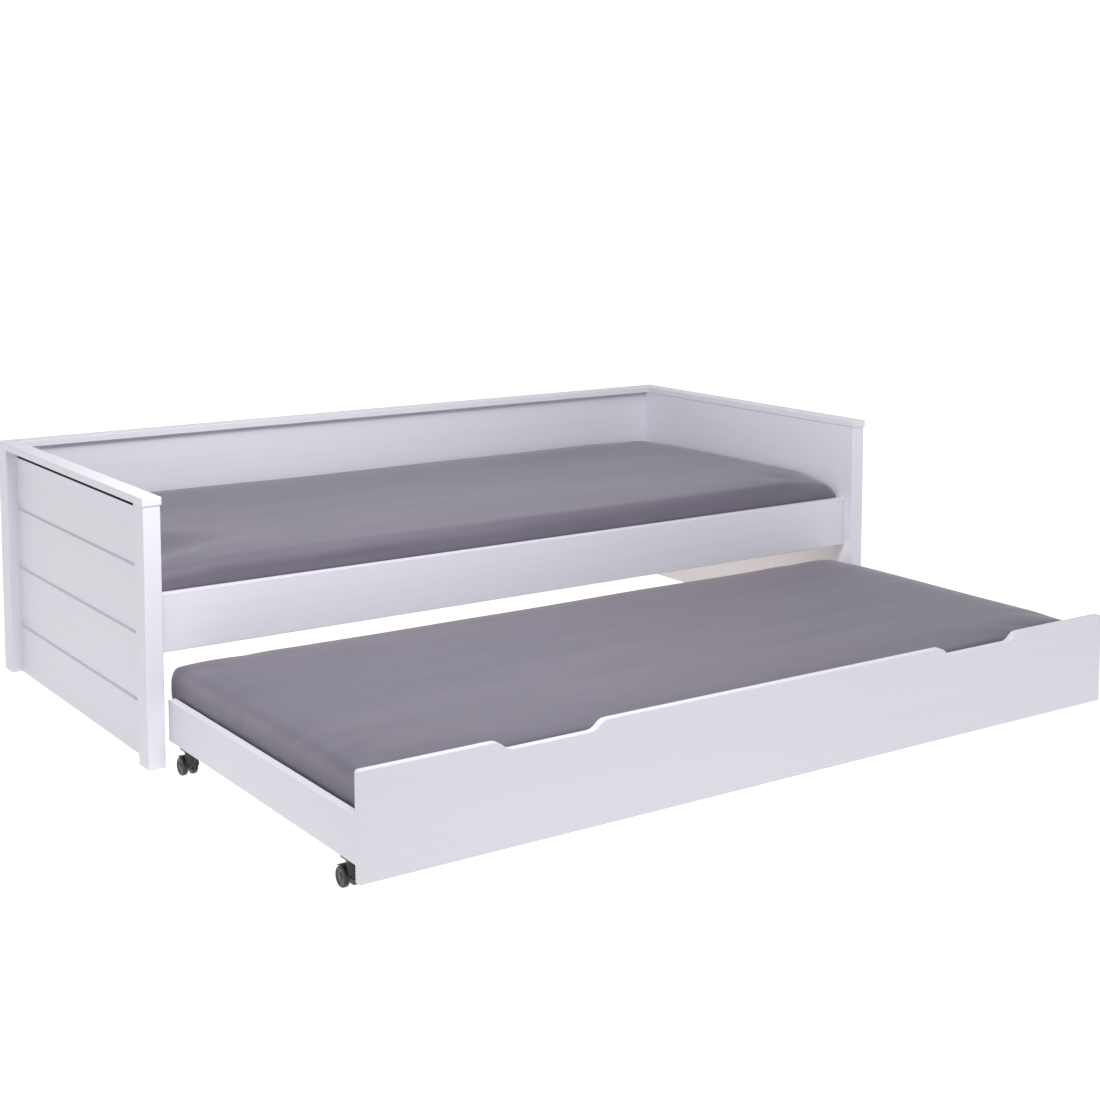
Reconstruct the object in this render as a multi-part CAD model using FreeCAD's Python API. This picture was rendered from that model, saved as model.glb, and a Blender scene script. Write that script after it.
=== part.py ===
import FreeCAD, Part
import math
import os

Vector = FreeCAD.Vector

# A day bed with a trundle bed on casters that rolls out from under it.
# Millimetres. +X runs along the bed, +Y to its back, +Z up from the floor.
# The trundle is modelled rolled out, and the origin is on the floor at the middle of the whole footprint.

# ---- driving dimensions: the bed frame ----
bed_length = 2100.0
bed_depth = 980.0
bed_height = 600.0
post_width = 40.0
post_depth = 57.0
post_rounding = 3.0
post_foot_chamfer = 1.2
cap_thickness = 18.0
cap_overhang = 2.0
cap_rounding = 2.0
glide_height = 4.0
glide_taper = 1.5
glide_radius = 14.0
glide_pin_radius = 1.5
glide_pin_length = 16.0
panel_thickness = 13.0
panel_setback = 27.0
joint_arris = 1.2
shadow_gap_height = 20.0
shadow_gap_depth = 8.0
groove_width = 16.0
groove_depth = 3.5
lower_lip_slope = 5.0
upper_lip_slope = 2.5
groove_pitch = 152.0
groove_count = 3
lowest_groove_foot = 126.0
back_panel_thickness = 16.0
back_panel_setback = 10.0
rail_setback = 29.0
rail_thickness = 20.0
rail_foot = 251.0
rail_height = 130.0
rail_rounding = 1.5
slat_level = 300.0
slat_thickness = 18.0
slat_width = 68.0
slat_count = 16
slat_rounding = 2.0
slat_end_gap = 1.5
cleat_depth = 25.0
cleat_height = 30.0
mattress_top = 445.0

# ---- driving dimensions: the trundle ----
pull_out = 891.0
trundle_length = 1996.0
trundle_depth = 867.0
front_thickness = 17.0
front_foot = 30.0
front_top = 238.0
front_corner_radius = 6.0
grip_centre = 583.0
grip_flat = 175.0
grip_run = 45.0
grip_drop = 19.0
side_thickness = 18.0
side_foot = 62.0
side_top = 153.0
trundle_slat_level = 117.0
trundle_slat_thickness = 15.0
trundle_slat_count = 14
trundle_cleat_height = 22.0
trundle_mattress_top = 228.0
trundle_mattress_overhang = 53.0
block_width = 60.0
block_height = 18.0
front_block_length = 70.0
rear_block_length = 92.0

# ---- driving dimensions: the casters ----
wheel_radius = 20.0
wheel_width = 12.0
wheel_spacing = 23.0
wheel_edge_rounding = 3.5
hub_radius = 12.0
hub_recess = 1.6
hub_rim_width = 4.0
hub_slope = 2.0
hub_cap_rise = 0.2
axle_radius = 2.5
axle_length = 31.0
running_clearance = 0.05
caster_trail = 18.0
caster_inset = 17.0
front_caster_setback = 59.0
rear_caster_inset = 75.0
plate_width = 34.0
plate_length = 38.0
plate_thickness = 3.0
plate_corner_radius = 4.0
plate_hole_x = 11.0
plate_hole_y = 14.5
bearing_radius = 15.0
bearing_height = 5.0
bearing_taper = 2.0
kingpin_radius = 4.0
kingpin_length = 19.0
housing_gap = 0.5
boss_radius = 12.0
hood_clearance = 1.3
hood_wall = 2.0
hood_front_foot = 24.0
hood_rear_reach = 10.0
web_hub_radius = 10.0
boss_foot = 28.0

# ---- driving dimensions: bedding, tapes and fasteners ----
mattress_corner_radius = 24.0
mattress_edge_radius = 20.0
sheet_thickness = 1.2
sheet_gap = 0.3
sheet_hem = 90.0
bedding_clearance = 2.0
tape_width = 20.0
tape_thickness = 1.0
tape_inset = 150.0
dowel_radius = 4.0
dowel_length = 40.0
cap_dowel_length = 32.0
cap_dowel_bite = 12.0
cap_dowel_spread = 15.0
panel_dowel_heights = (70.0, 195.0, 320.0, 500.0)
back_dowel_heights = (351.0, 481.0, 551.0)
rail_dowel_heights = (296.0, 346.0)
side_dowel_heights = (87.0, 128.0)
rear_dowel_heights = (74.0, 86.0)
side_dowel_bite = 11.0
rear_dowel_bite = 12.0
bracket_leg = 50.0
bracket_thickness = 3.0
bracket_height = 34.0
bracket_bend_radius = 1.5
bracket_hole_places = (0.42, 0.8)
wood_screw_radius = 2.0
wood_screw_length = 38.0
short_screw_length = 12.0
panel_screw_bite = 10.0
bracket_lift = 6.0
cleat_end_gap = 12.0
mattress_end_gap = 4.0
screw_head_radius = 4.0
screw_head_height = 2.5
cleat_screw_count = 6

# ---- derived places ----
front_edge = (pull_out - cap_overhang - rail_setback - bed_depth) / 2
back_edge = front_edge + bed_depth
post_outer_x = bed_length / 2 - cap_overhang
post_inner_x = post_outer_x - post_width
post_front_y = front_edge + cap_overhang
post_back_y = back_edge - cap_overhang
cap_foot = bed_height - cap_thickness
cap_width = post_width + 2 * cap_overhang
panel_outer_x = post_outer_x - panel_setback
panel_inner_x = panel_outer_x - panel_thickness
back_panel_rear_y = post_back_y - back_panel_setback
back_panel_front_y = back_panel_rear_y - back_panel_thickness
rail_front_y = post_front_y + rail_setback
rail_inner_y = rail_front_y + rail_thickness
slat_foot = slat_level - slat_thickness
trundle_front_y = rail_front_y - pull_out
trundle_panel_back_y = trundle_front_y + front_thickness
trundle_rear_y = trundle_front_y + trundle_depth
trundle_side_x = trundle_length / 2
trundle_inner_x = trundle_side_x - side_thickness
rear_rail_front_y = trundle_rear_y - side_thickness
trundle_slat_foot = trundle_slat_level - trundle_slat_thickness
caster_x = trundle_side_x - caster_inset
front_caster_y = trundle_front_y + front_caster_setback
rear_caster_y = trundle_rear_y - rear_caster_inset
plate_foot = side_foot - plate_thickness
bearing_foot = plate_foot - bearing_height
housing_top = bearing_foot - housing_gap


def block(x0, x1, y0, y1, z0, z1):
    """Box between two corners, given in any order."""
    low = Vector(min(x0, x1), min(y0, y1), min(z0, z1))
    return Part.makeBox(abs(x1 - x0), abs(y1 - y0), abs(z1 - z0), low)


def rod(start, direction, radius, length):
    """Round bar from a point along a direction."""
    return Part.makeCylinder(radius, length, start, direction)


def edges_along(shape, axis, keep=lambda middle: True):
    """Straight edges of a shape that run along one axis and whose middle passes a test."""
    chosen = []
    for edge in shape.Edges:
        if edge.Curve.TypeId != "Part::GeomLine":
            continue
        run = edge.Vertexes[-1].Point - edge.Vertexes[0].Point
        along = abs(run.dot(axis)) / run.Length
        if along > 0.999 and keep(edge.CenterOfMass):
            chosen.append(edge)
    return chosen


def rounded(shape, radius, axis, keep=lambda middle: True):
    """The same shape with its edges along one axis rounded."""
    return shape.makeFillet(radius, edges_along(shape, axis, keep))


def drilled(shape, fasteners):
    """The shape with room cut for the fasteners that sit in it."""
    near = [f for f in fasteners if f.BoundBox.intersect(shape.BoundBox)]
    if not near:
        return shape
    return shape.cut(near)


def group(solids):
    """Separate solids kept together as one node."""
    return Part.makeCompound(solids)


def save(node, shape):
    shape.exportStep("parts/" + node + ".step")
    print(node, len(shape.Solids), shape.isValid(), round(shape.Volume / 1000.0, 1))


along_x = Vector(1, 0, 0)
along_y = Vector(0, 1, 0)
along_z = Vector(0, 0, 1)


def countersunk_screw(tip_side, direction, length):
    """Wood screw whose flat head is flush with the surface at tip_side, driven along direction."""
    head = Part.makeCone(screw_head_radius, wood_screw_radius, screw_head_height, tip_side, direction)
    shank = rod(tip_side, direction, wood_screw_radius, length)
    return head.fuse(shank).removeSplitter()


def pan_screw(surface, direction, length):
    """Screw with a low round head that stands on the surface, driven along direction."""
    head_base = surface - direction * screw_head_height
    head = rod(head_base, direction, screw_head_radius, screw_head_height)
    rim = [e for e in head.Edges if abs((e.CenterOfMass - head_base).dot(direction)) < 0.01]
    rim = [e for e in rim if e.Curve.TypeId == "Part::GeomCircle"]
    head = head.makeFillet(screw_head_height / 2, rim)
    shank = rod(head_base, direction, wood_screw_radius, screw_head_height + length)
    return head.fuse(shank).removeSplitter()


# ---- bed frame: posts, glides, caps ----
def post(side, back):
    """Square leg at one corner; side is -1 for left, back is 1 for the rear pair."""
    y0 = post_back_y - post_depth if back > 0 else post_front_y
    leg = block(side * post_inner_x, side * post_outer_x, y0, y0 + post_depth, glide_height, cap_foot)
    outer = side * post_outer_x
    leg = rounded(leg, post_rounding, along_z, lambda m: abs(m.x - outer) < 1 or (back < 0 and m.y < y0 + 1))
    foot_edges = [e for e in leg.Edges if abs(e.BoundBox.ZMax - glide_height) < 0.01]
    return leg.makeChamfer(post_foot_chamfer, foot_edges)


def post_centre(side, back):
    y = post_back_y - post_depth / 2 if back > 0 else post_front_y + post_depth / 2
    return side * (post_outer_x - post_width / 2), y


def glide(side, back):
    """Nail-on plastic foot under a post."""
    x, y = post_centre(side, back)
    foot = Part.makeCone(glide_radius - glide_taper, glide_radius, glide_height, Vector(x, y, 0), along_z)
    pin_start = glide_height / 2
    pin = rod(Vector(x, y, pin_start), along_z, glide_pin_radius, pin_start + glide_pin_length)
    return foot.fuse(pin).removeSplitter()


def side_cap(side):
    """Cap rail over an end panel and its two posts, from the front corner to the back corner."""
    outer = side * bed_length / 2
    cap = block(outer - side * cap_width, outer, front_edge, back_edge, cap_foot, bed_height)
    cap = rounded(cap, cap_rounding, along_y)
    ends = [e for e in cap.Edges if e.BoundBox.ZLength > cap_thickness / 2 and e.BoundBox.YLength < 1]
    return cap.makeFillet(cap_rounding * 0.6, ends)


def back_cap():
    """Cap rail over the back panel, butted between the two side caps."""
    reach = bed_length / 2 - cap_width
    cap = block(-reach, reach, back_edge - cap_width, back_edge, cap_foot, bed_height)
    return rounded(cap, cap_rounding, along_x)


# ---- bed frame: panels and rail ----
def groove_feet(lowest_allowed):
    """Heights of the lower lips of the horizontal grooves."""
    feet = []
    for i in range(groove_count):
        foot = lowest_groove_foot + i * groove_pitch
        if foot > lowest_allowed:
            feet.append(foot)
    return feet


def groove(face, outward, run, foot):
    """Cutter for one groove: flat floor, a sloping lower lip and a steeper upper lip."""
    half_lower = lower_lip_slope / 2
    half_upper = upper_lip_slope / 2
    top = foot + groove_width
    outline = [
        (1, foot - half_lower),
        (0, foot - half_lower),
        (-groove_depth, foot + half_lower),
        (-groove_depth, top - half_upper),
        (0, top + half_upper),
        (1, top + half_upper),
    ]
    points = [face + outward * out + along_z * z for out, z in outline]
    return Part.Face(Part.makePolygon(points + points[:1])).extrude(run)


def end_panel(side):
    """Grooved board between two posts, rebated at the top so that a shadow gap shows under the cap."""
    y0 = post_front_y + post_depth
    y1 = post_back_y - post_depth
    board = block(side * panel_inner_x, side * panel_outer_x, y0, y1, glide_height, cap_foot)
    inner_ends = edges_along(board, along_z, lambda m: abs(m.x) < panel_inner_x + 1)
    board = board.makeChamfer(joint_arris, inner_ends)
    face = Vector(side * panel_outer_x, y0, 0)
    cuts = [groove(face, Vector(side, 0, 0), along_y * (y1 - y0), foot) for foot in groove_feet(glide_height)]
    gap_x = side * (panel_outer_x - shadow_gap_depth)
    gap_foot = cap_foot - shadow_gap_height
    cuts.append(block(gap_x, side * (panel_outer_x + 1), y0 - 1, y1 + 1, gap_foot, cap_foot + 1))
    return board.cut(cuts)


def back_panel():
    """Board between the rear posts, with the same grooves on its outer face as the end panels."""
    x1 = post_inner_x
    board = block(-x1, x1, back_panel_front_y, back_panel_rear_y, rail_foot, cap_foot)
    face = Vector(-x1, back_panel_rear_y, 0)
    cuts = [groove(face, along_y, along_x * 2 * x1, foot) for foot in groove_feet(rail_foot)]
    gap_y = back_panel_rear_y - shadow_gap_depth
    gap_foot = cap_foot - shadow_gap_height
    cuts.append(block(-x1 - 1, x1 + 1, gap_y, back_panel_rear_y + 1, gap_foot, cap_foot + 1))
    return board.cut(cuts)


def front_side_rail():
    rail = block(-post_inner_x, post_inner_x, rail_front_y, rail_inner_y, rail_foot, rail_foot + rail_height)
    return rounded(rail, rail_rounding, along_x)


# ---- slatted bases ----
def cleat(x_reach, y_wall, inward, z0, height):
    """Batten fixed along a rail; inward is the direction away from the rail."""
    return block(-x_reach, x_reach, y_wall, y_wall + inward * cleat_depth, z0, z0 + height)


def cleat_screws(x_reach, y_wall, inward, z_middle):
    screws = []
    for i in range(cleat_screw_count):
        x = -x_reach + (i + 0.5) * 2 * x_reach / cleat_screw_count
        start = Vector(x, y_wall + inward * cleat_depth, z_middle)
        screws.append(countersunk_screw(start, Vector(0, -inward, 0), wood_screw_length))
    return screws


def slat_centres(count, reach):
    step = (2 * reach - slat_width) / (count - 1)
    return [-reach + slat_width / 2 + i * step for i in range(count)]


def slats(count, reach, y0, y1, z0, thickness):
    solids = []
    for x in slat_centres(count, reach):
        slat = block(x - slat_width / 2, x + slat_width / 2, y0, y1, z0, z0 + thickness)
        solids.append(rounded(slat, slat_rounding, along_y))
    return solids


def slat_tapes(count, reach, y0, y1, z_top):
    """Two woven tapes under the slats that keep them evenly spaced."""
    end = slat_centres(count, reach)[-1] + slat_width / 4
    solids = []
    for y in (y0 + tape_inset, y1 - tape_inset):
        solids.append(block(-end, end, y - tape_width / 2, y + tape_width / 2, z_top - tape_thickness, z_top))
    return solids


def end_slat_screws(count, reach, y0, y1, z_top):
    """Screws that hold only the first and the last slat, one at each end of the slat."""
    screws = []
    length = slat_thickness + short_screw_length
    for x in (slat_centres(count, reach)[0], slat_centres(count, reach)[-1]):
        for y in (y0 + cleat_depth / 2, y1 - cleat_depth / 2):
            screws.append(countersunk_screw(Vector(x, y, z_top), Vector(0, 0, -1), length))
    return screws


# ---- corner brackets ----
def corner_bracket(side, x_wall, y_wall, inward, z0):
    """Steel angle in the corner between a wall across X and a wall across Y."""
    x_in = x_wall - side * bracket_leg
    y_in = y_wall + inward * bracket_leg
    along_wall = block(x_wall, x_in, y_wall, y_wall + inward * bracket_thickness, z0, z0 + bracket_height)
    across_wall = block(x_wall, x_wall - side * bracket_thickness, y_wall, y_in, z0, z0 + bracket_height)
    bracket = along_wall.fuse(across_wall).removeSplitter()
    bend_x = x_wall - side * bracket_thickness
    bend_y = y_wall + inward * bracket_thickness
    at_bend = lambda m: abs(m.x - bend_x) + abs(m.y - bend_y) < bracket_thickness / 6
    return rounded(bracket, bracket_bend_radius, along_z, at_bend)


def corner_bracket_screws(side, x_wall, y_wall, inward, z0, x_hold, y_hold):
    """Two screws into each wall; x_hold and y_hold are how far the threads bite into each wall."""
    screws = []
    z = z0 + bracket_height / 2
    for reach in bracket_hole_places:
        on_y = Vector(x_wall - side * bracket_leg * reach, y_wall + inward * bracket_thickness, z)
        screws.append(pan_screw(on_y, Vector(0, -inward, 0), bracket_thickness + y_hold))
        on_x = Vector(x_wall - side * bracket_thickness, y_wall + inward * bracket_leg * reach, z)
        screws.append(pan_screw(on_x, Vector(side, 0, 0), bracket_thickness + x_hold))
    return screws


# ---- bedding ----
def pad(x0, x1, y0, y1, z0, z1, grow):
    """Mattress block with rounded corners and edges, grown on every side."""
    body = block(x0 - grow, x1 + grow, y0 - grow, y1 + grow, z0 - grow, z1 + grow)
    body = body.makeFillet(mattress_corner_radius + grow, edges_along(body, along_z))
    rims = [e for e in body.Edges if e.BoundBox.ZLength < 0.01]
    return body.makeFillet(mattress_edge_radius + grow, rims)


def mattress_and_sheet(x_room, y_front, y_back, z0, z1):
    """A mattress, and the fitted sheet that covers its top and sides and turns under its edges."""
    skin = sheet_thickness + sheet_gap
    x1 = x_room - bedding_clearance - skin
    y0 = y_front + bedding_clearance + skin
    y1 = y_back - bedding_clearance - skin
    mattress = pad(-x1, x1, y0, y1, z0 + skin, z1 - skin, 0)
    outer = pad(-x1, x1, y0, y1, z0 + skin, z1 - skin, skin)
    inner = pad(-x1, x1, y0, y1, z0 + skin, z1 - skin, sheet_gap)
    window = block(-x1 + sheet_hem, x1 - sheet_hem, y0 + sheet_hem, y1 - sheet_hem, z0 - 1, z0 + skin + 1)
    return mattress, outer.cut([inner, window])


# ---- trundle ----
def grip_cut(centre):
    """Shallow hand hole in the top edge: a flat bottom with an S curve up to the edge at each end."""
    half_run = grip_run / 2
    half_drop = grip_drop / 2
    top = front_top
    low = top - grip_drop
    flat = grip_flat / 2
    radius = (half_run ** 2 + half_drop ** 2) / (2 * half_drop)
    turn = math.asin(half_run / radius) / 2
    lift = radius * (1 - math.cos(turn))
    slide = radius * math.sin(turn)
    above = top + grip_drop
    edges = []
    for side in (-1, 1):
        foot = Vector(centre + side * flat, 0, low)
        middle = Vector(centre + side * (flat + half_run), 0, low + half_drop)
        lip = Vector(centre + side * (flat + grip_run), 0, top)
        near_foot = Vector(centre + side * (flat + slide), 0, low + lift)
        near_lip = Vector(centre + side * (flat + grip_run - slide), 0, top - lift)
        edges.append(Part.Arc(foot, near_foot, middle).toShape())
        edges.append(Part.Arc(middle, near_lip, lip).toShape())
        edges.append(Part.makeLine(lip, Vector(lip.x, 0, above)))
    edges.append(Part.makeLine(Vector(centre - flat, 0, low), Vector(centre + flat, 0, low)))
    reach = flat + grip_run
    edges.append(Part.makeLine(Vector(centre - reach, 0, above), Vector(centre + reach, 0, above)))
    outline = Part.Wire(Part.__sortEdges__(edges))
    cutter = Part.Face(outline).extrude(Vector(0, 3 * front_thickness, 0))
    cutter.translate(Vector(0, trundle_front_y - front_thickness, 0))
    return cutter


def trundle_front_panel():
    x1 = trundle_side_x
    panel = block(-x1, x1, trundle_front_y, trundle_panel_back_y, front_foot, front_top)
    panel = rounded(panel, front_corner_radius, along_y, lambda m: m.z > front_top - 1)
    return panel.cut([grip_cut(-grip_centre), grip_cut(grip_centre)])


def trundle_side_rail(side):
    x0 = side * trundle_inner_x
    x1 = side * trundle_side_x
    rail = block(x0, x1, trundle_panel_back_y, trundle_rear_y, side_foot, side_top)
    return rounded(rail, rail_rounding, along_y, lambda m: m.z > side_top - 1)


def trundle_rear_rail():
    return block(
        -trundle_inner_x, trundle_inner_x, rear_rail_front_y, trundle_rear_y, side_foot, trundle_slat_level
    )


def caster_block(side, at_front):
    """Wooden pad in a bottom corner of the trundle that the caster's plate screws up into."""
    if at_front:
        y0, y1 = trundle_panel_back_y, trundle_panel_back_y + front_block_length
    else:
        y0, y1 = rear_rail_front_y - rear_block_length, rear_rail_front_y
    inner = side * (trundle_inner_x - block_width)
    return block(inner, side * trundle_inner_x, y0, y1, side_foot, side_foot + block_height)


# ---- casters ----
def plate(x, y):
    """Mounting plate with the bearing cup pressed under it and a hole for the kingpin."""
    half_x = plate_width / 2
    half_y = plate_length / 2
    body = block(x - half_x, x + half_x, y - half_y, y + half_y, plate_foot, side_foot)
    body = rounded(body, plate_corner_radius, along_z)
    narrow = bearing_radius - bearing_taper
    cup = Part.makeCone(narrow, bearing_radius, bearing_height, Vector(x, y, bearing_foot), along_z)
    hole = rod(Vector(x, y, bearing_foot - 1), along_z, kingpin_radius, bearing_height + plate_thickness + 2)
    return body.fuse(cup).cut(hole).removeSplitter()


def plate_screws(x, y):
    screws = []
    for dx in (-plate_hole_x, plate_hole_x):
        for dy in (-plate_hole_y, plate_hole_y):
            start = Vector(x + dx, y + dy, plate_foot)
            screws.append(countersunk_screw(start, along_z, plate_thickness + short_screw_length))
    return screws


def kingpin(x, y):
    return rod(Vector(x, y, side_foot - kingpin_length), along_z, kingpin_radius, kingpin_length)


def caster_housing(x, y):
    """Moulded body: a boss for the kingpin, a web between the wheels and a hood over their front and top."""
    axle_y = y + caster_trail
    hood_inner = wheel_radius + hood_clearance
    hood_outer = hood_inner + hood_wall
    half_web = wheel_spacing / 2 - wheel_width / 2 - housing_gap
    half_hood = wheel_spacing / 2 + wheel_width / 2
    hood = rod(Vector(x - half_hood, axle_y, wheel_radius), along_x, hood_outer, 2 * half_hood)
    front = axle_y - hood_outer
    rear = axle_y + hood_rear_reach
    covered = block(x - half_hood, x + half_hood, front, rear, hood_front_foot, housing_top)
    hood = hood.common(covered)
    boss = rod(Vector(x, y, boss_foot), along_z, boss_radius, housing_top - boss_foot)
    hub = rod(Vector(x - half_web, axle_y, wheel_radius), along_x, web_hub_radius, 2 * half_web)
    tangent = web_hub_radius * math.sqrt(0.5)
    web_outline = [
        (-boss_radius, boss_foot),
        (hood_rear_reach, housing_top),
        (caster_trail + tangent, wheel_radius + tangent),
        (caster_trail - tangent, wheel_radius - tangent),
    ]
    points = [Vector(x - half_web, y + dy, z) for dy, z in web_outline]
    web = Part.Face(Part.makePolygon(points + points[:1])).extrude(Vector(2 * half_web, 0, 0))
    body = hood.fuse([boss, hub, web])
    reach = 2 * half_hood
    wells = []
    for side in (-1, 1):
        start = Vector(x + side * half_web, axle_y, wheel_radius)
        wells.append(rod(start, along_x * side, hood_inner, reach))
    hole_foot = side_foot - kingpin_length - housing_gap
    kingpin_hole = rod(Vector(x, y, hole_foot), along_z, kingpin_radius + running_clearance, reach)
    axle_hole = rod(Vector(x - half_hood, axle_y, wheel_radius), along_x, axle_radius, reach)
    body = body.cut(wells).cut([kingpin_hole, axle_hole])
    return body.removeSplitter()


def caster_axle(x, y):
    start = Vector(x - axle_length / 2, y + caster_trail, wheel_radius)
    return rod(start, along_x, axle_radius, axle_length)


def caster_wheel(x, y, side):
    """One of the twin wheels: rounded tread, dished outer face with a raised hub, blind bore from inside."""
    inner = wheel_spacing / 2 - wheel_width / 2
    outer = inner + wheel_width
    r = wheel_radius
    edge = wheel_edge_rounding
    slant = edge * (1 - math.sqrt(0.5))
    bore = axle_radius + running_clearance
    bore_end = axle_length / 2 + housing_gap
    dish = outer - hub_recess
    rim_radius = hub_radius - hub_rim_width
    cap_radius = rim_radius - hub_slope

    def at(along, radius):
        return Vector(x + side * along, y + caster_trail, wheel_radius + radius)

    edges = [
        Part.makeLine(at(inner, bore), at(inner, r - edge)),
        Part.Arc(at(inner, r - edge), at(inner + slant, r - slant), at(inner + edge, r)).toShape(),
        Part.makeLine(at(inner + edge, r), at(outer - edge, r)),
        Part.Arc(at(outer - edge, r), at(outer - slant, r - slant), at(outer, r - edge)).toShape(),
        Part.makeLine(at(outer, r - edge), at(dish, hub_radius)),
        Part.makeLine(at(dish, hub_radius), at(dish, rim_radius)),
        Part.makeLine(at(dish, rim_radius), at(outer - hub_cap_rise, cap_radius)),
        Part.makeLine(at(outer - hub_cap_rise, cap_radius), at(outer, 0)),
        Part.makeLine(at(outer, 0), at(bore_end, 0)),
        Part.makeLine(at(bore_end, 0), at(bore_end, bore)),
        Part.makeLine(at(bore_end, bore), at(inner, bore)),
    ]
    profile = Part.Face(Part.Wire(edges))
    wheel = profile.revolve(at(0, 0), along_x, 360)
    return Part.makeSolid(wheel) if wheel.ShapeType != "Solid" else wheel


# ---- assemble and write ----
os.makedirs("parts", exist_ok=True)
corners = [(side, back) for back in (-1, 1) for side in (-1, 1)]
corner_words = {(-1, -1): "left_front", (1, -1): "right_front", (-1, 1): "left_rear", (1, 1): "right_rear"}

glides = [glide(side, back) for side, back in corners]

frame_dowels = []
for side, back in corners:
    joint_y = post_back_y - post_depth if back > 0 else post_front_y + post_depth
    panel_x = side * (panel_inner_x + panel_thickness / 2)
    for z in panel_dowel_heights:
        start = Vector(panel_x, joint_y - dowel_length / 2, z)
        frame_dowels.append(rod(start, along_y, dowel_radius, dowel_length))
    if back > 0:
        heights = back_dowel_heights
        across_y = (back_panel_front_y + back_panel_rear_y) / 2
    else:
        heights = rail_dowel_heights
        across_y = (rail_front_y + rail_inner_y) / 2
    for z in heights:
        start = Vector(side * post_inner_x - dowel_length / 2, across_y, z)
        frame_dowels.append(rod(start, along_x, dowel_radius, dowel_length))
    centre_x, centre_y = post_centre(side, back)
    for dy in (-cap_dowel_spread, cap_dowel_spread):
        start = Vector(centre_x, centre_y + dy, cap_foot - cap_dowel_length + cap_dowel_bite)
        frame_dowels.append(rod(start, along_z, dowel_radius, cap_dowel_length))

bracket_foot = rail_foot + bracket_lift
brackets = []
bracket_screws = []
for side, back in corners:
    wall_y = back_panel_front_y if back > 0 else rail_inner_y
    brackets.append(corner_bracket(side, side * post_inner_x, wall_y, -back, bracket_foot))
    bracket_screws += corner_bracket_screws(
        side, side * post_inner_x, wall_y, -back, bracket_foot, panel_screw_bite, short_screw_length
    )

cleat_reach = post_inner_x - bracket_leg - cleat_end_gap
cleat_z = slat_foot - cleat_height
front_cleat = cleat(cleat_reach, rail_inner_y, 1, cleat_z, cleat_height)
back_cleat = cleat(cleat_reach, back_panel_front_y, -1, cleat_z, cleat_height)
cleat_middle = cleat_z + cleat_height / 2
bed_cleat_screws = cleat_screws(cleat_reach, rail_inner_y, 1, cleat_middle)
bed_cleat_screws += cleat_screws(cleat_reach, back_panel_front_y, -1, cleat_middle)

slat_y0 = rail_inner_y + slat_end_gap
slat_y1 = back_panel_front_y - slat_end_gap
bed_slats = slats(slat_count, cleat_reach, slat_y0, slat_y1, slat_foot, slat_thickness)
bed_tapes = slat_tapes(slat_count, cleat_reach, slat_y0, slat_y1, slat_foot)
bed_slat_screws = end_slat_screws(slat_count, cleat_reach, slat_y0, slat_y1, slat_level)

frame_fasteners = glides + frame_dowels + bracket_screws + bed_cleat_screws + bed_slat_screws
for side, back in corners:
    save(corner_words[side, back] + "_post", drilled(post(side, back), frame_fasteners))
for side, word in ((-1, "left"), (1, "right")):
    save(word + "_end_panel", drilled(end_panel(side), frame_fasteners))
    save(word + "_cap_rail", drilled(side_cap(side), frame_fasteners))
save("back_panel", drilled(back_panel(), frame_fasteners))
save("back_cap_rail", drilled(back_cap(), frame_fasteners))
save("front_side_rail", drilled(front_side_rail(), frame_fasteners))
save("front_slat_cleat", drilled(front_cleat, frame_fasteners))
save("back_slat_cleat", drilled(back_cleat, frame_fasteners))
save("bed_slats", group([drilled(s, bed_slat_screws) for s in bed_slats]))
save("bed_slat_tapes", group(bed_tapes))
save("bed_slat_screws", group(bed_slat_screws))
save("frame_corner_brackets", group([drilled(b, bracket_screws) for b in brackets]))
save("frame_bracket_screws", group(bracket_screws))
save("bed_cleat_screws", group(bed_cleat_screws))
save("frame_dowels", group(frame_dowels))
save("post_glides", group(glides))
bed_mattress, bed_sheet = mattress_and_sheet(
    post_inner_x - mattress_end_gap, rail_inner_y, back_panel_front_y, slat_level, mattress_top
)
save("bed_mattress", bed_mattress)
save("bed_fitted_sheet", bed_sheet)

trundle_dowels = []
for side in (-1, 1):
    side_middle = side * (trundle_inner_x + side_thickness / 2)
    rear_middle = (rear_rail_front_y + trundle_rear_y) / 2
    for z in side_dowel_heights:
        start = Vector(side_middle, trundle_panel_back_y - side_dowel_bite, z)
        trundle_dowels.append(rod(start, along_y, dowel_radius, dowel_length))
    for z in rear_dowel_heights:
        start = Vector(side * (trundle_inner_x + rear_dowel_bite), rear_middle, z)
        trundle_dowels.append(rod(start, Vector(-side, 0, 0), dowel_radius, dowel_length))

trundle_bracket_foot = side_foot + block_height + bracket_thickness / 3
trundle_brackets = []
trundle_bracket_screws = []
for side in (-1, 1):
    wall_x = side * trundle_inner_x
    for wall_y, inward in ((trundle_panel_back_y, 1), (rear_rail_front_y, -1)):
        trundle_brackets.append(corner_bracket(side, wall_x, wall_y, inward, trundle_bracket_foot))
        trundle_bracket_screws += corner_bracket_screws(
            side, wall_x, wall_y, inward, trundle_bracket_foot, short_screw_length, short_screw_length
        )

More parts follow.
